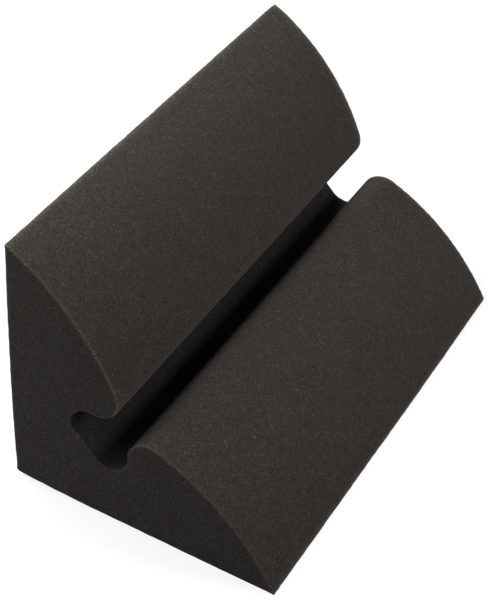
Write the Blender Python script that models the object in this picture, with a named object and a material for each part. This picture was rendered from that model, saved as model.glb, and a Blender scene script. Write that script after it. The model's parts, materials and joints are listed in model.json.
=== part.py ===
"""Corner bass trap: one block of charcoal acoustic foam, wire-cut to the same section all along.

Metres, +Z up. The block lies on one of its two square back faces. The other back face stands
upright and looks along -X, and the section runs along Y. The origin is the middle of the
block's footprint, on the surface that it lies on.

The section is drawn in two directions of its own: across the front from the mirror line, and
out from the back corner along the mirror line. Each half of the front is a chain of arcs that
meet without a corner: lobe, nose, arm of the groove, floor.
"""

import math

import bmesh
import bpy
from mathutils import Vector

# The block
BACK_WIDTH = 0.350  # of each back face, from the corner edge to the outer edge
LENGTH = 0.600
CORNER_RADIUS = 0.004  # of the long edge that goes into the room's corner
RIM_BREAK = 0.0015  # how far the cut edges round both ends are softened

# The two lobes of the front, which start at the outer edges
LOBE_RADIUS = 0.312
LOBE_OFFSET = 0.157  # from the mirror line to the middle of the lobe's arc
NOSE_RADIUS = 0.030  # where a lobe turns down into the groove

# The keyhole groove between the lobes
NECK_GAP = 0.042  # between the two noses, at their nearest
NECK_TO_FLOOR = 0.070
GROOVE_WIDTH = 0.084  # from the end of one arm to the end of the other
ARM_RADIUS = 0.025

CHORD_ERROR = 0.00003  # how far the flat facets cut inside a true arc
SAME_POINT = 0.0001  # points of the section nearer than this are one point

FOAM_COLOUR = (0.042, 0.039, 0.033, 1.0)
FOAM_ROUGHNESS = 0.95


def clear_scene():
    for old in list(bpy.data.objects):
        bpy.data.objects.remove(old, do_unlink=True)


def other_side(longest, side):
    """The third side of a right triangle."""
    return math.sqrt(longest ** 2 - side ** 2)


def arc(centre, radius, start, end):
    """Points along a circle from one angle to another, both ends included."""
    step = 2 * math.acos(1 - CHORD_ERROR / radius)
    count = max(2, math.ceil(abs(end - start) / step))
    angles = [start + (end - start) * i / count for i in range(count + 1)]
    return [centre + radius * Vector((math.cos(a), math.sin(a))) for a in angles]


def direction(start, end):
    """The angle at which one point is seen from another, from 0 to a full turn."""
    way = end - start
    return math.atan2(way.y, way.x) % math.tau


def half_front():
    """One half of the front, from the outer edge over the lobe to the middle of the groove's floor."""
    outer_edge = Vector((1, 1)) * BACK_WIDTH / math.sqrt(2)

    lobe = Vector((LOBE_OFFSET, 0))
    lobe.y = outer_edge.y - other_side(LOBE_RADIUS, outer_edge.x - lobe.x)

    # The nose lies inside the lobe's circle and touches it.
    nose = Vector((NECK_GAP / 2 + NOSE_RADIUS, 0))
    nose.y = lobe.y + other_side(LOBE_RADIUS - NOSE_RADIUS, nose.x - lobe.x)

    # The arm's end can be no rounder than a circle that touches nose, side wall and floor at once.
    side_wall = GROOVE_WIDTH / 2
    floor = nose.y - NECK_TO_FLOOR
    overhang = side_wall - NECK_GAP / 2
    full_round = NECK_TO_FLOOR + overhang - math.sqrt(2 * (NECK_TO_FLOOR + NOSE_RADIUS) * overhang)
    arm_radius = min(ARM_RADIUS, full_round, side_wall)

    # The upper arc of the arm touches the nose and runs down the side wall, the lower one to the floor.
    roof = Vector((side_wall - arm_radius, 0))
    roof.y = nose.y - other_side(NOSE_RADIUS + arm_radius, nose.x - roof.x)
    foot = Vector((roof.x, floor + arm_radius))

    lobe_to_nose = direction(lobe, nose)
    nose_to_roof = direction(nose, roof)
    points = arc(lobe, LOBE_RADIUS, direction(lobe, outer_edge), lobe_to_nose)
    points += arc(nose, NOSE_RADIUS, lobe_to_nose, nose_to_roof)
    points += arc(roof, arm_radius, nose_to_roof - math.pi, 0)
    points += arc(foot, arm_radius, 0, -math.pi / 2)
    return points


def section():
    """The whole outline, once round: one half of the front, its mirror image, and the back corner."""
    half = half_front()
    other_half = [Vector((-p.x, p.y)) for p in reversed(half)]
    corner = Vector((0, CORNER_RADIUS * math.sqrt(2)))
    back = arc(corner, CORNER_RADIUS, -3 * math.pi / 4, -math.pi / 4)

    outline = []
    for point in half + other_half + back:
        if not outline or (point - outline[-1]).length > SAME_POINT:
            outline.append(point)
    return outline


def placed(point):
    """A point of the section in the block's own frame, at the end nearest -Y."""
    across, out = point
    x = (out - across) / math.sqrt(2) - BACK_WIDTH / 2
    z = (out + across) / math.sqrt(2)
    return Vector((x, -LENGTH / 2, z))


def foam_material():
    material = bpy.data.materials.new("charcoal_foam")
    material.use_nodes = True
    shader = material.node_tree.nodes["Principled BSDF"]
    shader.inputs["Base Color"].default_value = FOAM_COLOUR
    shader.inputs["Roughness"].default_value = FOAM_ROUGHNESS
    shader.inputs["Metallic"].default_value = 0.0
    return material


def foam_block():
    """The section, cut along the whole length, with the rims of its two ends a little softened."""
    shape = bmesh.new()
    end = shape.faces.new([shape.verts.new(placed(point)) for point in section()])
    run = bmesh.ops.extrude_face_region(shape, geom=[end])
    far_end = [item for item in run["geom"] if isinstance(item, bmesh.types.BMVert)]
    bmesh.ops.translate(shape, verts=far_end, vec=(0, LENGTH, 0))
    rims = [edge for edge in shape.edges if abs(edge.verts[0].co.y - edge.verts[1].co.y) < SAME_POINT]
    bmesh.ops.bevel(shape, geom=rims, offset=RIM_BREAK, segments=2, profile=0.5, affect="EDGES")
    bmesh.ops.recalc_face_normals(shape, faces=shape.faces)

    mesh = bpy.data.meshes.new("foam_block")
    shape.to_mesh(mesh)
    shape.free()
    mesh.shade_smooth()
    mesh.set_sharp_from_angle(angle=math.radians(30))
    mesh.materials.append(foam_material())

    block = bpy.data.objects.new("foam_block", mesh)
    bpy.context.scene.collection.objects.link(block)
    return block


clear_scene()
foam_block()
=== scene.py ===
# %% [markdown]
# # Dressing a foam bass trap
#
# A bass trap is a wedge of acoustic foam that fills the corner of a room and soaks up low sound.
# This one is cut from a single bun of charcoal foam: two flat back faces, and a front of two soft
# lobes with a keyhole groove between them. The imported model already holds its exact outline.
# What is left for this lesson is all that makes it foam: cut edges that fray a little, faces that
# are never quite true, and thousands of open cells that catch the light.
#
# Everything is in metres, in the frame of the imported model, so no piece has to be fitted.

import json
import math

import bmesh
import bpy
import numpy as np
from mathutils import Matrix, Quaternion, Vector, noise
from mathutils.geometry import delaunay_2d_cdt

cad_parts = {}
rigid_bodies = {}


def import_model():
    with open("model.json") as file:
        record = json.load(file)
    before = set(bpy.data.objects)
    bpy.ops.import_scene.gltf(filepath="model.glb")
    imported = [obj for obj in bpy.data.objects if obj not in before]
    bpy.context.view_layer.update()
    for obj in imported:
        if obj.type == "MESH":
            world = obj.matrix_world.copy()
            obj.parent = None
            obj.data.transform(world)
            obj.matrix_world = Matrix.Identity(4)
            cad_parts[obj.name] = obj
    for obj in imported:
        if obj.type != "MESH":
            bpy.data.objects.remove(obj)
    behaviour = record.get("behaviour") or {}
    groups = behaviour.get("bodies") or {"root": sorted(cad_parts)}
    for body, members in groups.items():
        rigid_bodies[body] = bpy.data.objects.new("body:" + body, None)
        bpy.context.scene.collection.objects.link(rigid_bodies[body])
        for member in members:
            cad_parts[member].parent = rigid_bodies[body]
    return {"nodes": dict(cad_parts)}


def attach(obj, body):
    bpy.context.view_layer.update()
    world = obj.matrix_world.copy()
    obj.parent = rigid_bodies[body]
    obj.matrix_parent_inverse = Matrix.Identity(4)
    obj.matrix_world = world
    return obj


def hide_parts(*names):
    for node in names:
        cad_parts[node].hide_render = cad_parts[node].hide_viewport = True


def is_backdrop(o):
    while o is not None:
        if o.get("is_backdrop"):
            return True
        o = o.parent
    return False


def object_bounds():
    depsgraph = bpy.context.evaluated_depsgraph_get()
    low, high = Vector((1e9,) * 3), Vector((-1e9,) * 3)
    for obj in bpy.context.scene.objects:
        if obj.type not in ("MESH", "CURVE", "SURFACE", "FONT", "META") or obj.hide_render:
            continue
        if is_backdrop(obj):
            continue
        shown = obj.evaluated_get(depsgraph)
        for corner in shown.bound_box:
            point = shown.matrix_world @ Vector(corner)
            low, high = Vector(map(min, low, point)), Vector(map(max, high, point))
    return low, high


for leftover in list(bpy.data.objects):
    bpy.data.objects.remove(leftover)
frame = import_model()
solid_low, solid_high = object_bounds()
solid = frame["nodes"]["foam_block"]
print("the solid block measures", [round(side, 4) for side in solid_high - solid_low], "m")

# %% [markdown]
# ## Reading the outline
#
# The block has the same section from end to end, like a loaf. So the whole shape is known once
# the outline of one slice is known. It could be drawn again from its radii, but then it might
# drift from the solid. Here the solid itself is sliced in its middle instead, and the points of
# the cut are followed round from one to the next. Points on a straight edge are left out.

# %% Slice the solid in its middle
STRAIGHT_TURN = math.radians(0.2)  # a smaller change of direction is no corner of the outline
SAME_POINT = 1e-6  # points nearer to each other than this are one


def turn_at(before, here, after):
    """How far the outline turns at a point, in radians."""
    return (here - before).angle(after - here)


def middle_slice(node):
    """The node's outline half way along Y, as an unbroken ring of (x, z) points."""
    cut = bmesh.new()
    cut.from_mesh(node.data)
    bmesh.ops.remove_doubles(cut, verts=cut.verts, dist=SAME_POINT)
    everything = cut.verts[:] + cut.edges[:] + cut.faces[:]
    middle = (solid_low + solid_high) / 2
    made = bmesh.ops.bisect_plane(cut, geom=everything, plane_co=middle, plane_no=(0, 1, 0))
    edges = {item for item in made["geom_cut"] if isinstance(item, bmesh.types.BMEdge)}
    here = next(iter(edges)).verts[0]
    ring = []
    while edges:
        edge = next(item for item in here.link_edges if item in edges)
        edges.remove(edge)
        ring.append(Vector((here.co.x, here.co.z)))
        here = edge.other_vert(here)
    cut.free()
    return [p for i, p in enumerate(ring)
            if turn_at(ring[i - 1], p, ring[(i + 1) % len(ring)]) > STRAIGHT_TURN]


section = middle_slice(solid)
print("the slice has", len(section), "points")

# %% [markdown]
# ## Straight edges and curved ones
#
# The solid's curves are chains of short flat facets, which is all that a mill or a physics engine
# needs. A camera sees them as faint bands, so curves are about to be run through the points. But
# the long edges are straight on the real block, and a curve through their two ends would bulge.
# They could be kept out of the curve, with a join at each end. It is simpler to cut them into
# short steps, which hold the curve straight.

# %% Cut the straight edges into steps
LONGEST_FACET = 0.012  # edges of the slice longer than this are straight on the block
FRONT_STEP = 0.0026
BACK_STEP = 0.0065


def from_upper_edge(ring):
    """The front, from the upper outer edge to the lower one, and the back, from there on round."""
    top = max(range(len(ring)), key=lambda i: ring[i].y)
    ring = ring[top:] + ring[:top]
    if ring[1].x < ring[-1].x:
        ring = ring[:1] + ring[:0:-1]
    right = max(range(len(ring)), key=lambda i: ring[i].x)
    return ring[:right + 1], ring[right:] + ring[:1]


def stepped(chain, step):
    """The chain with its long straight edges cut into steps."""
    points = []
    for start, end in zip(chain, chain[1:]):
        length = (end - start).length
        count = math.ceil(length / step) if length > LONGEST_FACET else 1
        points += [start.lerp(end, i / count) for i in range(count)]
    return points + [chain[-1]]


steps = (FRONT_STEP, BACK_STEP)
chains = [stepped(chain, step) for chain, step in zip(from_upper_edge(section), steps)]
print("the front is a chain of", len(chains[0]), "points and the back one of", len(chains[1]))

# %% [markdown]
# ## From facets back to curves
#
# A curve could be drawn over the points by hand, but each point would need its two handles set.
# The curve here finds them by itself: at each point it heads the way that a parabola through the
# point and its two neighbours would, and between two points it turns from the one heading to the
# other.

# %% Run a curve through the outline
def eased(t):
    """From 0 to 1 with a soft start and a soft end."""
    return t * t * (3 - 2 * t)


def curve_through(points, step):
    """Points about a step apart along a smooth curve through the given ones."""
    ends = [2 * points[0] - points[1], 2 * points[-1] - points[-2]]
    around = [ends[0], *points, ends[1]]
    heading = []
    for before, here, after in zip(around, around[1:], around[2:]):
        come, go = here - before, after - here
        heading.append((come / come.length_squared + go / go.length_squared)
                       / (1 / come.length + 1 / go.length))
    curve = []
    for start, end, way_out, way_in in zip(points, points[1:], heading, heading[1:]):
        length = (end - start).length
        count = max(1, round(length / step))
        for i in range(count):
            t = i / count
            bend = length * t * (1 - t) * ((1 - t) * way_out - t * way_in)
            curve.append(start.lerp(end, eased(t)) + bend)
    return curve + [points[-1]]


front, back = (curve_through(chain, step) for chain, step in zip(chains, steps))
print("the front has", len(front), "points and the back", len(back))

# %% [markdown]
# ## Outer edges
#
# Foam is cut with a moving blade or a hot wire, and two cuts that meet leave an edge that is
# sharp to the eye but never a knife. So each outer edge gets a tiny round. A Bevel modifier
# could cut it, but here the outline is at hand, so the round is worked out from the two
# directions that meet there, and it touches both faces.

# %% Round the outer edges
OUTER_EDGE_RADIUS = 0.0005
EDGE_POINTS = 5


def rounded(corner, arriving, leaving):
    """Points of the small arc that takes the place of a corner between two neighbours."""
    to_start, to_end = (arriving - corner).normalized(), (leaving - corner).normalized()
    half = to_start.angle(to_end) / 2
    centre = corner + (to_start + to_end).normalized() * OUTER_EDGE_RADIUS / math.sin(half)
    reach = OUTER_EDGE_RADIUS / math.tan(half)
    first, last = corner + to_start * reach - centre, corner + to_end * reach - centre
    shares = [i / (EDGE_POINTS - 1) for i in range(EDGE_POINTS)]
    return [centre + OUTER_EDGE_RADIUS * first.slerp(last, share) for share in shares]


upper_edge = rounded(front[0], back[-2], front[1])
lower_edge = rounded(front[-1], front[-2], back[1])
outline = np.array(upper_edge + front[1:-1] + lower_edge + back[1:-1])
outer_corners = np.array([front[0], front[-1]])
print("the whole outline has", len(outline), "points")

# %% [markdown]
# ## Rows from end to end
#
# The outline is laid down many times along the length, in rows. Two rows would be enough for
# the shape of the sides, but swells and frayed edges need points to sit on. At both ends the
# last few rows draw inwards on a quarter circle: that is the softened rim.

# %% Plan the rows
RIM_RADIUS = 0.0010
RIM_ROWS = 4
LENGTH_STEP = 0.0032
BESIDE_RIM = (0.0008, 0.0020)  # extra rows next to each rim, which hold its pale line close

half_length = (solid_high.y - solid_low.y) / 2
mid_length = (solid_high.y + solid_low.y) / 2


def rows_along():
    """(distance from the block's middle, inset) of each row, from one end to the other."""
    rim = [(half_length - RIM_RADIUS * (1 - math.cos(a)), RIM_RADIUS * (1 - math.sin(a)))
           for a in np.linspace(0, math.pi / 2, RIM_ROWS + 1)]
    near_rim = [(half_length - RIM_RADIUS - gap, 0.0) for gap in BESIDE_RIM]
    inner = near_rim[-1][0]
    middle = [(y, 0.0) for y in np.linspace(-inner, inner, round(2 * inner / LENGTH_STEP) + 1)]
    far_end = rim + near_rim[:-1]
    return [(-y, inset) for y, inset in far_end] + middle + far_end[::-1]


rows = rows_along()
print("there are", len(rows), "rows")

# %% [markdown]
# ## The skin
#
# Each row is the outline again, and neighbours are joined with quads, as a loom makes cloth. An
# Extrude and a Bevel could make the same sides and rims, but here each point's place is known
# from its row and column, which the next steps make use of. Where the outline comes to its outer
# edges there is no room for the full rim, so it tapers there.

# %% Lay the skin along the block
RIM_TAPER = 0.004  # from an outer edge, over which the rim grows to its full size
THINNEST_RIM = 0.8  # of the outer edge's own radius


def outward(ring):
    """Unit vectors that point out of the foam, for the points of a ring that runs clockwise."""
    along = np.roll(ring, -1, axis=0) - np.roll(ring, 1, axis=0)
    across = np.stack([-along[:, 1], along[:, 0]], axis=1)
    return across / np.linalg.norm(across, axis=1, keepdims=True)


out = outward(outline)
to_corner = np.linalg.norm(outline[:, None] - outer_corners[None], axis=2).min(axis=1)
least = OUTER_EDGE_RADIUS / RIM_RADIUS * THINNEST_RIM
rim_share = np.clip(to_corner / RIM_TAPER, least, 1)[:, None]
skin = np.concatenate([
    np.insert(outline - out * rim_share * inset, 1, mid_length + y, axis=1) for y, inset in rows])
columns = len(outline)
row_start = np.arange(len(rows) - 1)[:, None] * columns
corner_of = row_start + np.arange(columns)
next_of = row_start + (np.arange(columns) + 1) % columns
quads = np.stack([corner_of, next_of, next_of + columns, corner_of + columns], axis=2)
skin_faces = quads.reshape(-1, 4)
print("the skin has", len(skin), "points and", len(skin_faces), "quads")

# %% [markdown]
# ## Points like a honeycomb
#
# An end could be closed with a single many-sided face, but a flat face can't carry the slight
# unevenness of sawn foam. So points are strewn over it like the cells of a honeycomb, and those
# that lie outside the outline, or too near to it, are thrown away.

# %% Strew points over an end
END_STEP = 0.0042
RIM_CLEARANCE = 0.0024  # the nearest that a point of the honeycomb comes to the rim
BATCHES = 16  # distances are worked out in this many lots, to spare memory


def inside(points, ring):
    """Which points lie inside a closed ring.

    A ray to one side of such a point crosses the ring an odd number of times.
    """
    start, end = ring, np.roll(ring, -1, axis=0)
    px, pz = points[:, :1], points[:, 1:]
    spans = (start[:, 1] > pz) != (end[:, 1] > pz)
    rise = np.where(end[:, 1] == start[:, 1], 1.0, end[:, 1] - start[:, 1])
    crossing = start[:, 0] + (pz - start[:, 1]) / rise * (end[:, 0] - start[:, 0])
    return (spans & (px < crossing)).sum(axis=1) % 2 == 1


def nearest_in(points, ring):
    """Which point of a ring is nearest to each of the points, and how far that is."""
    which = np.concatenate([np.linalg.norm(some[:, None] - ring[None], axis=2).argmin(axis=1)
                            for some in np.array_split(points, BATCHES)])
    return which, np.linalg.norm(points - ring[which], axis=1)


def honeycomb(ring):
    """Evenly strewn points inside a ring, clear of it."""
    low, high = ring.min(axis=0), ring.max(axis=0)
    xs = np.arange(low[0], high[0], END_STEP)
    zs = np.arange(low[1], high[1], END_STEP * math.sqrt(3) / 2)
    grid = np.array([(x + END_STEP / 2 * (row % 2), z) for row, z in enumerate(zs) for x in xs])
    grid = grid[inside(grid, ring)]
    return grid[nearest_in(grid, ring)[1] > RIM_CLEARANCE]


end_ring = skin[:columns][:, [0, 2]]
comb = honeycomb(end_ring)
print("an end has", len(comb), "inner points")

# %% [markdown]
# ## The cut ends
#
# Now the points are joined to each other and to the rim. Joining them row by row would leave a
# ragged gap along the outline. A Delaunay triangulation leaves none: it keeps the rim's edges,
# and of all ways to draw triangles between points it draws the ones that are least thin.

# %% Fill the two ends
KEEP_INSIDE = 1  # of the ways in which the triangulation can end, the one that stays in the ring
TOUCHING = 1e-7  # points nearer to each other than this are one

ring_edges = [(i, (i + 1) % columns) for i in range(columns)]
flat = [Vector(point) for point in np.concatenate([end_ring, comb])]
filled = delaunay_2d_cdt(flat, ring_edges, [], KEEP_INSIDE, TOUCHING)
source_point = [origin[0] for origin in filled[3]]
end_faces = np.array([[source_point[corner] for corner in face] for face in filled[2]])
print("an end has", len(end_faces), "triangles")

# %% [markdown]
# ## One closed block
#
# Skin and ends share the points of the two rims, so the mesh is closed, as a solid has to be.
# Three meshes could also be welded by distance, but then a wrong distance leaves a slit or eats
# a rim. Sharing the points from the start can't go wrong.

# %% Join skin and ends
def end_points(y):
    """The inner points of an end that lies at this place along the length."""
    return np.insert(comb, 1, y, axis=1)


end_places = (mid_length - half_length, mid_length + half_length)
points = np.concatenate([skin, *(end_points(y) for y in end_places)])


def end_at(first_rim_point, first_inner_point):
    """The end's triangles, counted from where its rim and inner points start in the whole mesh."""
    on_rim = end_faces < columns
    return np.where(on_rim, end_faces + first_rim_point, end_faces - columns + first_inner_point)


near_end = end_at(0, len(skin))
far_end = end_at((len(rows) - 1) * columns, len(skin) + len(comb))
faces = [*skin_faces.tolist(), *near_end.tolist(), *far_end.tolist()]

mesh = bpy.data.meshes.new("foam_block_dressed")
mesh.from_pydata(points.tolist(), [], faces)
tidy = bmesh.new()
tidy.from_mesh(mesh)
bmesh.ops.recalc_face_normals(tidy, faces=tidy.faces)
open_edges = sum(not edge.is_manifold for edge in tidy.edges)
tidy.to_mesh(mesh)
tidy.free()
block = bpy.data.objects.new("foam_block_dressed", mesh)
bpy.context.scene.collection.objects.link(block)
print("the block has", len(points), "points,", len(faces), "faces and", open_edges, "open edges")

# %% [markdown]
# ## Painted shade in the groove
#
# Little light reaches down into the groove, so on top of its real shade its inside is painted
# darker than the lobes: painted shade. Blender's Ambient Occlusion node could find such places,
# but it can't be told to begin at the neck. So each point gets a number, how far it lies in the
# shelter of the groove, and it is kept on the mesh for the shader.
#
# The neck is found where the front, followed from an outer edge, stops drawing in towards the
# mirror line of the section. The groove's floor lies open to the neck, but its two arms reach
# back under the lobes. They are sheltered most, and there the number goes above 1.

# %% Measure the shelter of the groove
SHELTER_FADE = 0.010  # above and below the neck, over which the shelter grows
OPEN_RIM = 0.0025  # from an end, where light comes in, over which it grows as well
ARMS_MORE = 0.7  # how much the arms' own shelter adds to the groove's
ARM_REACHES = 0.010  # past the width of the neck, over which an arm's own shelter grows
OPEN_ARM = 0.016  # from an end, over which it grows as well

from_corner = outline - np.array([solid_low.x, solid_low.z])
from_mirror = np.abs(from_corner[:, 0] - from_corner[:, 1]) / math.sqrt(2)
outwards = from_corner.sum(axis=1) / math.sqrt(2)
on_front = list(range(EDGE_POINTS, EDGE_POINTS + len(front) - 2))


def neck(followed):
    """The first point at which the front, followed in this order, stops drawing in."""
    return next(here for here, ahead in zip(followed, followed[1:])
                if from_mirror[ahead] > from_mirror[here])


def keep_on_mesh(name, values):
    """Keeps a number for each point, under a name by which the shader can find it."""
    mesh.attributes.new(name, "FLOAT", "POINT").data.foreach_set("value", values.astype(np.float32))


necks = neck(on_front), neck(on_front[::-1])
below_neck = outwards[list(necks)].mean() - outwards[on_front]
grown = np.clip((below_neck / SHELTER_FADE + 1) / 2, 0, 1)
ring_shelter = np.zeros(columns)
ring_shelter[on_front] = eased(grown)
past_neck = from_mirror - from_mirror[list(necks)].mean()
in_arm = ARMS_MORE * ring_shelter * np.clip(past_neck / ARM_REACHES, 0, 1)
below_end = half_length - np.abs(points[:, 1] - mid_length)
shelter = np.zeros(len(points))
for deep, open_for in ((ring_shelter, OPEN_RIM), (in_arm, OPEN_ARM)):
    closed = np.clip(below_end[:len(skin)] / open_for, 0, 1)
    shelter[:len(skin)] += np.tile(deep, len(rows)) * closed
keep_on_mesh("shelter", shelter)
print("the neck is", round(from_mirror[list(necks)].sum() * 1000, 1), "mm wide, and",
      int((shelter > 0.5).sum()), "points lie in shelter")

# %% [markdown]
# ## How near is the next cut?
#
# Foam crumbles at its edges, since a cell there has lost the neighbours that held it, and the
# loose struts catch more light, so every edge shows as a thin pale line, painted into the colour as
# a highlight. The two long outer edges are thin wedges, and there the line is wider than at the
# rims. Round the groove the lobes shade the rims, so there the line is painted fainter: painted
# shade. At the upper nose the rim faces light from the front right, so the line is painted paler.
# Round the far end the white behind shines through the loose struts, so there the line is painted
# wider and paler than round the near one: a painted backlight.
#
# Blender's Pointiness finds edges by itself, but it depends on how fine the mesh is, and can't
# tell a lit rim from a shaded one. So each point's distance from the edges is measured.
# Between two points of a mesh, Blender draws a straight line through their values. A pale line
# that dies away in a curve would smear over the large triangles of the ends. So what is kept is
# a depth, which is straight by nature, and the shader works out the fading from it.

# %% Mark the edges
NEAR_FRAY = 0.0012  # how far from a rim the fraying has fallen to about a third
# At the far end the fraying, and the painted backlight in it, reach further in.
FAR_FRAY = 0.0026
OUTER_FRAY = 0.0026
GROOVE_RIM_SHADE = 0.55  # the share by which the painted line is fainter round the groove, where the lobes shade it
FAR_RIM_BACKLIGHT = 2.8  # the painted line round the far end is this many times as strong: painted backlight
NOSE_RIM_LIGHT = 1.2  # how much paler the painted rim is at the upper nose, where light from the front right falls
LIT_NOSE_REACH = 0.160  # how far from the neck, up the lobe, that painted light reaches
LIT_NOSE_SIDE = 0.020  # above the mirror line, over which that begins

flat_points = points[:, [0, 2]]
rim_point, from_ring = nearest_in(flat_points, end_ring)
on_skin = np.arange(len(points)) < len(skin)
from_rim = np.where(on_skin, below_end, from_ring)
from_outer = nearest_in(flat_points, outer_corners)[1]
at_far_end = points[:, 1] > mid_length
from_lit_nose = np.linalg.norm(flat_points - outline[necks[0]], axis=1)
up_wall = flat_points[:, 1] - solid_low.z
along_floor = flat_points[:, 0] - solid_low.x
above_mirror = (up_wall - along_floor) / math.sqrt(2)
nose_rim_light = NOSE_RIM_LIGHT * np.exp(-(from_lit_nose / LIT_NOSE_REACH) ** 2) * np.clip(above_mirror / LIT_NOSE_SIDE, 0, 1)
far_backlight = np.where(at_far_end, FAR_RIM_BACKLIGHT, 1)
# The painted rim highlight: fainter where the groove shades it, stronger with the far end's
# backlight and at the lit upper nose.
rim_highlight_strength = (1 - GROOVE_RIM_SHADE * ring_shelter[rim_point]) * far_backlight * (1 + nose_rim_light)
rim_depth = from_rim / np.where(at_far_end, FAR_FRAY, NEAR_FRAY)
outer_depth = from_outer / OUTER_FRAY
# The fading of (depth - log of strength) is the fading of the depth, times the strength.
keep_on_mesh("rim_depth", rim_depth - np.log(rim_highlight_strength))
keep_on_mesh("outer_depth", outer_depth)
frayed_here = np.exp(-np.minimum(rim_depth, outer_depth))
print("points on a frayed edge:", int((frayed_here > 0.5).sum()))

# %% [markdown]
# ## Never quite true
#
# A moving blade wanders in soft foam, and the block relaxes after the cut. Each point is pushed
# a little in or out along its normal by smooth noise of three kinds: long swells of the whole
# face, ripples that run with the length because the blade lies along it, and small lumps. At the
# edges a coarse nibble is added. All of it is fractions of a millimetre, so the sizes stay. A
# Displace modifier could do the same, but worked out here, the push can also be measured.

# %% Push the surface in and out
UNEVEN = (
    # across, along and amount, all in metres
    (0.110, 0.160, 0.00045),
    (0.009, 0.400, 0.00007),
    (0.016, 0.022, 0.00020),
)
NIBBLE = 0.005  # the size of a nibble
NIBBLE_DEPTH = 0.00045
NOISE_START = Vector((7.3, 1.9, 4.1))  # any place will do, if no two kinds share it
NIBBLE_START = Vector((3.7, 9.2, 5.8))


def swell(point, across, along, start):
    """Smooth noise between -1 and 1, with one size across the block and another along it."""
    return noise.noise(Vector((point[0] / across, point[1] / along, point[2] / across)) + start)


normals = np.empty(len(points) * 3, dtype=np.float32)
mesh.vertices.foreach_get("normal", normals)
normals = normals.reshape(-1, 3)
push = np.zeros(len(points))
for number, (across, along, amount) in enumerate(UNEVEN):
    start = NOISE_START * (number + 1)
    push += amount * np.array([swell(point, across, along, start) for point in points])
ragged = np.array([swell(point, NIBBLE, NIBBLE, NIBBLE_START) for point in points])
push += NIBBLE_DEPTH * ragged * frayed_here
uneven = points + normals * push[:, None]
print("the surface moves in by up to", round(-push.min() * 1000, 2), "mm")
print("and out by up to", round(push.max() * 1000, 2), "mm")

# %% [markdown]
# ## Where each point lies
#
# Foam keeps the memory of how it was packed and stood, and this block has settled a little. Its
# shape could be pushed about with a Lattice, but its few handles move large parts at once. Here
# each point is moved by sums that are worked out from its place, so first that place is found:
# 0 at one side of the block and 1 at the other.

# %% Find each point's place in the block
CRUSH_REACH = 0.008  # from an edge or a tip, over which a crush dies away
BELLY_HANGS = 0.85  # at 1 the belly would be fullest half way up
BELLY_PARTS = 3  # the belly lies in the first of this many parts of the width

width = solid_high.x - solid_low.x
height = solid_high.z - solid_low.z
from_upright = np.clip((uneven[:, 0] - solid_low.x) / width, 0, 1)
from_floor = np.clip((uneven[:, 2] - solid_low.z) / height, 0, 1)
near_upright = np.clip(1 - BELLY_PARTS * from_upright, 0, 1)
hanging = from_floor ** BELLY_HANGS
from_middle = (uneven[:, 1] - mid_length) / half_length
towards_near, towards_far = np.clip(-from_middle, 0, 1), np.clip(from_middle, 0, 1)


def crushed(distance):
    """1 at the crushed place itself, and almost 0 from twice the reach on."""
    return np.exp(-(distance / CRUSH_REACH) ** 2)


back_crush = crushed(np.hypot(uneven[:, 0] - solid_low.x, uneven[:, 2] - solid_low.z))
upper_tip = np.array([solid_low.x, solid_high.y, solid_high.z])
tip_crush = crushed(np.linalg.norm(uneven - upper_tip, axis=1))
print("points next to the back edge:", int((back_crush > 0.5).sum()))

# %% [markdown]
# ## How the block has settled
#
# The long back edge is crushed, so it is blunter than it was cut, bulges a little to the side
# and curls up from the floor. The upright face has swollen to a faint belly, fullest just below
# its middle. The thin lower outer edge is pressed out by the weight on it, and at the far end
# its tip curls up. At the same end the tip of the upper outer edge is blunted. The near end was
# sawn a touch out of square. Each is a few millimetres at most, and shows along the outline.
#
# All this could be sculpted with a brush, but sums can be set to a tenth of a millimetre and
# come out the same each time. A power says how fast a move dies away: the higher, the faster.

# %% Let the block settle
BACK_CURL = 0.0056  # how far the back edge stands off the floor
BACK_CRUSH = 0.0010  # how much it is blunted
BACK_SPREAD = 0.0007  # how far it bulges to the side
BELLY = 0.00225
TIP_CURL = 0.0040
TIP_BLUNTED = 0.0012
PRESSED_OUT = 0.0004
OUT_OF_SQUARE = 0.0014  # over the width of the near end
SQUARE_AT = 0.15  # of the width, from the upright face
BACK_POWER = 3
TIP_POWER = 10
PRESSED_POWER = 8
BELLY_POWER = 1.5
END_POWER = 2

settled = uneven.copy()
settled[:, 2] += BACK_CURL * (1 - from_upright) ** BACK_POWER * (1 - from_floor)
settled[:, 2] += BACK_CRUSH * back_crush
settled[:, 2] += TIP_CURL * from_upright ** TIP_POWER * towards_far ** END_POWER
settled[:, 2] -= TIP_BLUNTED * tip_crush
settled[:, 1] -= OUT_OF_SQUARE * (from_upright - SQUARE_AT) * towards_near ** END_POWER
settled[:, 0] += PRESSED_OUT * from_upright ** PRESSED_POWER - BACK_SPREAD * back_crush
settled[:, 0] -= BELLY * (4 * hanging * (1 - hanging)) ** BELLY_POWER * near_upright
settled[:, 2] = np.maximum(settled[:, 2], 0)  # nothing sinks into what the block lies on
mesh.vertices.foreach_set("co", settled.astype(np.float32).ravel())
mesh.shade_smooth()
mesh.update()
print("settling moves points by up to", round(np.abs(settled - uneven).max() * 1000, 2), "mm")

# %% [markdown]
# ## A language for finishes
#
# A finish is a graph of nodes. Drawn by hand it soon becomes a tangle, and written out in calls
# it is hard to read. Here one small class wraps a node's output, and Python's own plus, minus
# and times add the Math nodes.

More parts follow.
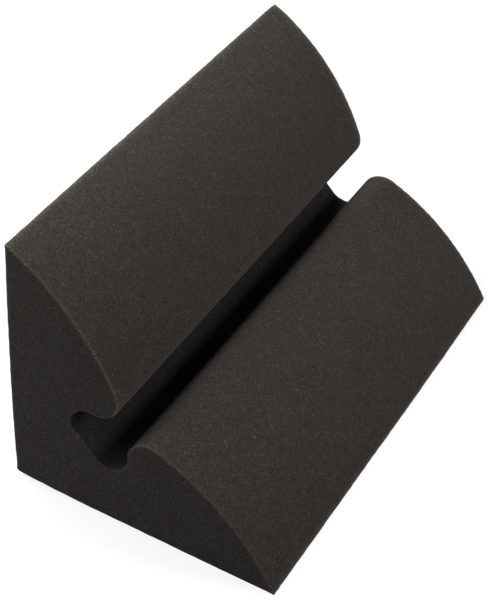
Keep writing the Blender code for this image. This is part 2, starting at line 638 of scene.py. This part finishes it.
# %% Shader sums in plain Python
class Wire:
    """The output of a node. A sum with wires in it adds the Math nodes that work it out."""

    def __init__(self, finish, socket):
        self.finish = finish
        self.socket = socket

    def math(self, operation, *values):
        """Adds a Math node that takes these values or wires."""
        return self.finish.node("ShaderNodeMath", {"operation": operation}, dict(enumerate(values)))

    def __add__(self, other):
        return self.math("ADD", self, other)

    def __sub__(self, other):
        return self.math("SUBTRACT", self, other)

    def __rsub__(self, other):
        return self.math("SUBTRACT", other, self)

    def __mul__(self, other):
        return self.math("MULTIPLY", self, other)

    __radd__ = __add__
    __rmul__ = __mul__


print("a sum with wires in it adds Math nodes")

# %% [markdown]
# ## One way to add any node
#
# Each kind of node has settings and sockets of its own, and each could get a function of its
# own. One method serves them all: it takes the kind, the settings, and what goes into the
# sockets. Only the two nodes that come up again and again, a mix of two colours and a soft step,
# get a method each.

# %% Add nodes of any kind
class Finish:
    """The node tree of one material or of the world."""

    def __init__(self, holder):
        holder.use_nodes = True
        self.tree = holder.node_tree
        self.tree.nodes.clear()

    def node(self, kind, settings, sockets, output=0):
        """Adds a node: first its settings, then a value or a wire for each socket that is named."""
        made = self.tree.nodes.new(kind)
        for name, value in settings.items():
            setattr(made, name, value)
        for name, value in sockets.items():
            if isinstance(value, Wire):
                self.tree.links.new(value.socket, made.inputs[name])
            else:
                made.inputs[name].default_value = value
        return Wire(self, made.outputs[output]) if made.outputs else made

    def blend(self, share, first, second):
        """A colour between two others: the first where the share is 0, the second where it is 1."""
        # Sockets 6 and 7 of a Mix node take its two colours, and output 2 gives the mixed one.
        return self.node("ShaderNodeMix", {"data_type": "RGBA"}, {0: share, 6: first, 7: second}, 2)

    def step(self, value, low, high):
        """0 below the low value, 1 above the high one, and a soft rise between."""
        return self.node("ShaderNodeMapRange", {"interpolation_type": "SMOOTHSTEP"},
                         {"Value": value, "From Min": low, "From Max": high})


foam_material = bpy.data.materials.new("charcoal_open_cell_foam")
foam = Finish(foam_material)
print("the finish of", foam_material.name, "is ready for its nodes")

# %% [markdown]
# ## Where the shader stands
#
# A pattern could be wrapped round the block like paper, but paper has seams. This one is worked
# out from the place of each point in the block, in metres. It goes right through the foam, just
# as the real cells do, and needs no unwrapping. Voronoi cells have dead straight walls, so the
# place is first stirred a little with noise, which bends them.

# %% Stir the place
STIR = 0.0007  # from the furthest to one side to the furthest to the other
STIR_SIZE = 0.0035

place = foam.node("ShaderNodeTexCoord", {}, {}, "Object")
ripples = {"Vector": place, "Scale": 1 / STIR_SIZE, "Detail": 1.0}
stirring = foam.node("ShaderNodeTexNoise", {}, ripples, "Color")
centred = foam.node("ShaderNodeVectorMath", {"operation": "SUBTRACT"},
                    {0: stirring, 1: (0.5, 0.5, 0.5)})
stirred = foam.node("ShaderNodeVectorMath", {"operation": "MULTIPLY_ADD"},
                    {0: centred, 1: (STIR, STIR, STIR), 2: place})
print("cells are bent by up to", STIR / 2 * 1000, "mm")

# %% [markdown]
# ## Open cells
#
# Blown foam is a heap of bubbles whose skins have burst, so only the struts between them are
# left. Plain noise would make lumps without struts. The distance to the edge of a Voronoi cell
# draws them: it is near 0 on a strut and large in a pore. Two sizes of cell are laid over each
# other. A pore is a hole that light seldom leaves, so it is dark, and some bubbles face the
# light better than others, so each has its own tone.

# %% Draw the cells
CELL = 0.00125
SMALL_CELL = 0.00070
STRUT_EDGE = (0.03, 0.22)  # of a cell's size: where a strut begins to thin out, and where it ends
LARGE_SHARE = 0.55  # of the pattern, for the large cells


def cells(size):
    """How much of a strut is at this place, and the own random number of the cell that it is in."""
    shape = {"Vector": stirred, "Scale": 1 / size}
    to_wall = foam.node("ShaderNodeTexVoronoi", {"feature": "DISTANCE_TO_EDGE"}, shape, "Distance")
    own = foam.node("ShaderNodeTexVoronoi", {"feature": "F1"}, shape, "Color")
    number = foam.node("ShaderNodeSeparateColor", {}, {"Color": own}, "Red")
    return 1 - foam.step(to_wall, *STRUT_EDGE), number


struts, cell_number = cells(CELL)
small_struts, small_number = cells(SMALL_CELL)
solidity = struts * LARGE_SHARE + small_struts * (1 - LARGE_SHARE)
print("cells of", CELL * 1000, "and", SMALL_CELL * 1000, "mm")

# %% [markdown]
# ## Glints and pits
#
# Here and there a bubble has kept its skin, which shines like a tiny window, and here and there
# one has sunk into a pit. A window's shine is painted into the colour as a glint, besides making it
# less rough, and a pit's dark is painted shade. They could be strewn over the block as pieces, but
# there are many thousands. So both are picked by the cell's own number, which is anything from 0
# to 1: only the highest few are windows, and only the lowest few are pits.

# %% Pick the odd cells
WINDOWS_FROM = (0.955, 0.985)
PITS_UP_TO = (0.06, 0.12)

windows = foam.step(cell_number, *WINDOWS_FROM)
pits = 1 - foam.step(small_number, *PITS_UP_TO)
print("about", round(100 - sum(WINDOWS_FROM) * 50), "cells in 100 glint")
print("about", round(sum(PITS_UP_TO) * 50), "small cells in 100 are pits")

# %% [markdown]
# ## Cloudy patches, and painted light from above
#
# A bun of foam rises unevenly and its pigment is stirred by hand, so the grey drifts by a few
# parts in a hundred over the span of a hand, and again over the span of a finger. On top of that
# the colour is painted paler towards the top, as light from above makes it: painted light, which
# leaves the upper lobe paler than the lower one. Painting the patches by hand would need a
# picture. Noise needs none.

# %% Drift of the grey
HAND_SPAN = 0.090
HAND_DRIFT = 0.045
FINGER_SPAN = 0.014
FINGER_DRIFT = 0.05
PAINTED_TOP_LIGHT = 0.4  # painted light from above, for each metre of height
STRETCH = 3  # noise seldom strays from its middle value, 0.5, by more than a third


def drift(size, detail):
    """A slow rise and fall between about -1 and 1."""
    shape = {"Vector": place, "Scale": 1 / size, "Detail": detail}
    return (foam.node("ShaderNodeTexNoise", {}, shape, "Fac") - 0.5) * STRETCH


above_middle = foam.node("ShaderNodeSeparateXYZ", {}, {"Vector": place}, "Z") - height / 2
over_hand = drift(HAND_SPAN, detail=2.0) * HAND_DRIFT
over_finger = drift(FINGER_SPAN, detail=3.0) * FINGER_DRIFT
# The last term is painted light: paler towards the top.
clouds_and_top_light = over_hand + over_finger + above_middle * PAINTED_TOP_LIGHT
print("the top is", round(PAINTED_TOP_LIGHT * height * 100), "parts in a hundred paler than the bottom")

# %% [markdown]
# ## The colour of the foam
#
# A ramp with many colours could hold all the greys of the foam, but then one change would mean
# new colours everywhere. So strut and pore get a colour each, and the mix is scaled by all that
# makes a spot lighter or darker: the cell's own tone, the painted glints of windows and painted
# shade of pits, the clouds with the painted light from above, the painted highlight along the
# frayed edges, and the painted shade in the groove.

# %% Mix the colour
STRUT_COLOUR = (0.0749, 0.0674, 0.0584, 1.0)
PORE_COLOUR = (0.0265, 0.0239, 0.0206, 1.0)
CELL_TONE = 0.56  # from the darkest cell to the palest
SMALL_CELL_TONE = 0.42
# A window's painted glint, and a pit's painted shade.
WINDOW_GLINT = 0.8
PIT_SHADE = 0.6
# Painted highlights along the edges, where loose struts catch light.
RIM_HIGHLIGHT = 0.9
OUTER_HIGHLIGHT = 2.6
GROOVE_SHADE = 0.4  # painted shade: how much darker the colour is where the shelter is 1


def marked(name):
    """The number that was kept on the mesh under this name."""
    return foam.node("ShaderNodeAttribute", {"attribute_name": name}, {}, "Fac")


def fading(depth):
    """The strength of a painted edge highlight, which falls to about a third for each 1 of depth.
    """
    return struts.math("EXPONENT", 0 - marked(depth))


own_tone = (cell_number - 0.5) * CELL_TONE + (small_number - 0.5) * SMALL_CELL_TONE
# Painted highlight along the rims and the outer edges.
frayed = fading("rim_depth") * RIM_HIGHLIGHT + fading("outer_depth") * OUTER_HIGHLIGHT
# Painted shade: the colour is darker where the groove's shelter is deep.
groove_shade = 1 - marked("shelter") * GROOVE_SHADE
# Windows add a painted glint and pits painted shade.
tone = (1 + own_tone + clouds_and_top_light + windows * WINDOW_GLINT - pits * PIT_SHADE) * (1 + frayed) * groove_shade
raw_colour = foam.blend(solidity, PORE_COLOUR, STRUT_COLOUR)
colour = foam.node("ShaderNodeVectorMath", {"operation": "SCALE"}, {0: raw_colour, "Scale": tone})
print("struts", STRUT_COLOUR[:3], "and pores", PORE_COLOUR[:3])

# %% [markdown]
# ## Relief, and the shader itself
#
# Pores are holes. Cutting them into the mesh would take millions of triangles, so the same mask
# that darkens them also sinks them in a Bump node, which only turns the light's way. The foam is
# dull, with the faint bloom that any fuzzy thing has where the eye skims over it: that is what
# sheen is for.

# %% Put the finish together
PORE_DEPTH = 0.00045
RELIEF = 0.55
TONE_RISES = 0.5
PIT_SINKS = 0.6
WINDOW_GLOSS = 0.45  # by this much a window is less rough than the foam
STRUT_GLOSS = 0.06

bumps = solidity + own_tone * TONE_RISES - pits * PIT_SINKS
relief = foam.node("ShaderNodeBump", {}, {
    "Strength": RELIEF,
    "Distance": PORE_DEPTH,
    "Height": bumps,
})
shader = foam.node("ShaderNodeBsdfPrincipled", {}, {
    "Base Color": colour,
    "Roughness": 1 - windows * WINDOW_GLOSS - struts * STRUT_GLOSS,
    "Specular IOR Level": 0.06,
    "Sheen Weight": 0.12,
    "Sheen Roughness": 0.45,
    "Sheen Tint": (0.9, 0.86, 0.8, 1.0),
    "Normal": relief,
}, "BSDF")
foam.node("ShaderNodeOutputMaterial", {}, {"Surface": shader})
mesh.materials.append(foam_material)
print("the finish has", len(foam.tree.nodes), "nodes")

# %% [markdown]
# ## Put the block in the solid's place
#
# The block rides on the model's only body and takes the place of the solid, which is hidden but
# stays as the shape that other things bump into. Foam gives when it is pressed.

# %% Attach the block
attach(block, "root")
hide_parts("foam_block")
print(block.name, "stands for", solid.name)

# %% [markdown]
# ## White that the camera sees
#
# The photo's background is pure white. A floor and a sky that are white by their own colour
# would throw so much light on the dark foam that it turns grey. So a part of their white is a
# glow that just the camera sees, and mirrors and glass too. A Light Path node tells which kind
# of ray asks.

# %% Tell the camera's rays from the others
def seen_directly(finish):
    """1 for rays from the camera and for what they meet by mirror or through glass, otherwise 0."""
    camera, glossy, transmission = (finish.node("ShaderNodeLightPath", {}, {}, f"Is {kind} Ray")
                                    for kind in ("Camera", "Glossy", "Transmission"))
    return camera.math("MINIMUM", camera + glossy + transmission, 1.0)


def grey(level):
    """A colour from black at 0 to white at 1."""
    return level, level, level, 1.0


print("black is", grey(0.0), "and white is", grey(1.0))

# %% [markdown]
# ## A white floor that keeps its shadow
#
# A floor that is all glow would show no shadow, and the block would seem to float. So the floor
# is partly paint. Where the block keeps the light off, the painted part goes dark and the glow
# stays, which makes a soft shadow. The lamps don't reach far, so the glow grows with the
# distance until it is white by itself, and no horizon shows against the sky.

# %% Lay the floor
FLOOR_HALF = 6.0
FLOOR_PAINT = 0.28
FLOOR_GLOW = 0.81
GLOW_GROWS = (0.8, 3.0)  # from this distance on, and up to that one

corners = [(x, y, 0) for x, y in ((-1, -1), (1, -1), (1, 1), (-1, 1))]
floor_mesh = bpy.data.meshes.new("studio_floor")
floor_mesh.from_pydata([Vector(corner) * FLOOR_HALF for corner in corners], [], [(0, 1, 2, 3)])
floor_material = bpy.data.materials.new("white_floor")
paint = Finish(floor_material)
on_floor = paint.node("ShaderNodeTexCoord", {}, {}, "Object")
from_block = paint.node("ShaderNodeVectorMath", {"operation": "LENGTH"}, {0: on_floor}, "Value")
full_glow = paint.blend(paint.step(from_block, *GLOW_GROWS), grey(FLOOR_GLOW), grey(1.0))
glow = paint.blend(seen_directly(paint), grey(0.0), full_glow)
floor_shader = paint.node("ShaderNodeBsdfPrincipled", {}, {
    "Base Color": grey(FLOOR_PAINT),
    "Roughness": 1.0,
    "Specular IOR Level": 0.0,
    "Emission Color": glow,
    "Emission Strength": 1.0,
}, "BSDF")
paint.node("ShaderNodeOutputMaterial", {}, {"Surface": floor_shader})
floor_mesh.materials.append(floor_material)
floor = bpy.data.objects.new("studio_floor", floor_mesh)
bpy.context.scene.collection.objects.link(floor)
floor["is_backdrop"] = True
print("the floor is", 2 * FLOOR_HALF, "m wide")

# %% [markdown]
# ## Light from all round
#
# Dark foam needs plenty of soft light or it turns into a black hole. A photo of a studio could
# light it from all round, but an even glow needs no photo. So the world gives a faint one, and
# no side is ever lost. Seen directly, the world is white.

# %% Set the sky
SKY = 0.085

world = bpy.data.worlds.new("studio_sky")
bpy.context.scene.world = world
sky = Finish(world)
seen = seen_directly(sky)
background = sky.node("ShaderNodeBackground", {}, {
    "Color": grey(1.0),
    "Strength": seen * (1 - SKY) + SKY,
})
sky.node("ShaderNodeOutputWorld", {}, {"Surface": background})
print("the sky is", SKY, "strong")

# %% [markdown]
# ## Five soft boxes
#
# The glow alone would flatten the lobes, and point lamps would draw hard shadows. So area lamps
# stand in for the soft boxes of a studio. Each is given by where it stands, how wide it is, and
# how bright the light is that it throws on the block, so it can be moved without its light
# changing. The one behind the block stands low and to the side, so that it lights the far end
# and draws a fine line along its rims, but doesn't shine down the groove.

# %% Hang the lamps
AIM = Vector((0.0, 0.0, 0.15))  # what every lamp looks at
LAMPS = (
    # name, place, width, light on the block (1 shows a colour as it is written)
    ("left_box", (-0.76, -0.13, 1.07), 0.72, 0.88),
    ("front_box", (-1.05, -1.25, 1.78), 1.00, 0.26),
    ("high_right_box", (1.68, 0.45, 1.66), 0.50, 0.33),
    ("low_right_box", (2.01, 0.54, 1.12), 1.30, 0.13),
    ("back_box", (-1.45, 2.05, 0.42), 0.60, 0.50),
)


def looking_at(from_place, aim):
    """The turn that points a lamp or a camera at its aim, with its top up."""
    return (Vector(aim) - Vector(from_place)).to_track_quat("-Z", "Y")


for name, place_of_lamp, lamp_width, light in LAMPS:
    lamp = bpy.data.lights.new(name, "AREA")
    lamp.size = lamp_width
    # A small lamp of this power lights a face that looks at it, at this distance, with that light.
    lamp.energy = light * math.pi ** 2 * (Vector(place_of_lamp) - AIM).length_squared
    holder = bpy.data.objects.new(name, lamp)
    holder.location = place_of_lamp
    holder.rotation_mode = "QUATERNION"
    holder.rotation_quaternion = looking_at(place_of_lamp, AIM)
    bpy.context.scene.collection.objects.link(holder)
    print(name, "has", round(lamp.energy, 1), "W")

# %% [markdown]
# ## The camera
#
# The view is from above and from the front right, with a long lens from two metres away, so the
# block's long edges draw together only a little. The camera is rolled a few degrees about its
# own line of sight, which leans the whole block. A Track To constraint could aim the camera, but
# it would take the roll out again, so the turn is worked out here.

# %% Place the camera
CAMERA_PLACE = Vector((0.66821, -1.39397, 1.45012))
CAMERA_AIM = Vector((-0.0196, -0.03517, 0.1538))
CAMERA_ROLL = math.radians(3.75)
CAMERA_LENS = 99.25  # mm
SENSOR = 36.0  # mm, along the picture's longer side

lens = bpy.data.cameras.new("photo_view")
lens.lens = CAMERA_LENS
lens.sensor_width = SENSOR
lens.sensor_fit = "AUTO"
camera = bpy.data.objects.new("photo_view", lens)
camera.location = CAMERA_PLACE
camera.rotation_mode = "QUATERNION"
roll = Quaternion((0, 0, 1), CAMERA_ROLL)
camera.rotation_quaternion = looking_at(CAMERA_PLACE, CAMERA_AIM) @ roll
bpy.context.scene.collection.objects.link(camera)
bpy.context.scene.camera = camera
bpy.context.scene.view_settings.view_transform = "Standard"
distance = (CAMERA_PLACE - CAMERA_AIM).length
print("the camera stands", round(distance, 3), "m from what it looks at")

# %% [markdown]
# ## Compare the sizes
#
# The dressed block should have the size of the solid, apart from the little that foam swells and
# settles. So how much each side grew is printed.

# %% Compare the boxes
dressed_low, dressed_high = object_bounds()
growth = (dressed_high - dressed_low) - (solid_high - solid_low)
print("each side grew by", [round(side * 1000, 2) for side in growth], "mm")
